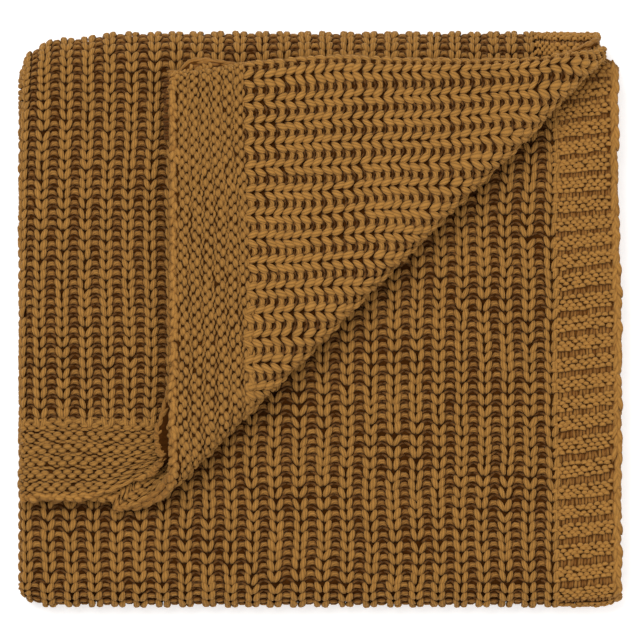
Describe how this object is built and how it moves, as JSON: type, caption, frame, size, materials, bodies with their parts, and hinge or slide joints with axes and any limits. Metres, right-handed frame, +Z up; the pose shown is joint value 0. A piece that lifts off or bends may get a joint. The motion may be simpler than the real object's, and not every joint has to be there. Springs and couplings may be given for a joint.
{
  "type": "folded throw blanket",
  "caption": "Chunky rib-knit throw blanket, folded into a flat stack with one corner turned back across the top.",
  "frame": {"origin": "middle of the underside of the folded stack, on the surface it lies on", "axes": "+X towards the right edge with the selvedges, +Y towards the far fold, +Z up"},
  "size_m": [0.332, 0.317, 0.0554],
  "materials": {
    "rib_knit": "matte ribbed knit in soft multi-strand yarn, ochre",
    "side_border_knit": "matte fine banded knit, same ochre yarn",
    "end_border_knit": "matte ridged knit, same ochre yarn",
    "edge_chain": "matte chain edge, same ochre yarn"
  },
  "bodies": {
    "lower_stack": {"middle_rib": "rib_knit", "middle_side_border": "side_border_knit", "middle_selvedge": "edge_chain", "middle_inner_border": "side_border_knit", "near_rib": "rib_knit", "near_side_border": "side_border_knit", "near_selvedge": "edge_chain", "near_inner_border": "side_border_knit", "near_end_border": "end_border_knit", "near_cast_on": "edge_chain", "near_fold": "rib_knit", "near_fold_border": "side_border_knit", "far_fold": "rib_knit", "far_fold_border": "side_border_knit"},
    "upper_third": {"upper_rib": "rib_knit", "upper_inner_border": "side_border_knit", "upper_end_border": "end_border_knit", "upper_bind_off": "edge_chain", "crease_fold": "rib_knit"},
    "corner_flap": {"flap_rib": "rib_knit", "flap_side_border": "side_border_knit", "flap_selvedge": "edge_chain", "flap_end_border": "end_border_knit", "flap_bind_off": "edge_chain"}
  },
  "joints": [
    {"name": "upper_third_lift", "type": "hinge", "parent": "lower_stack", "child": "upper_third", "pos_m": [0, 0.1378, 0.0207], "axis": [-1, 0, 0], "range_deg": [0, 105]},
    {"name": "corner_unfold", "type": "hinge", "parent": "upper_third", "child": "corner_flap", "pos_m": [-0.00263, 0.00263, 0.0416], "axis": [0.7071, 0.7071, 0], "range_deg": [0, 180]}
  ]
}
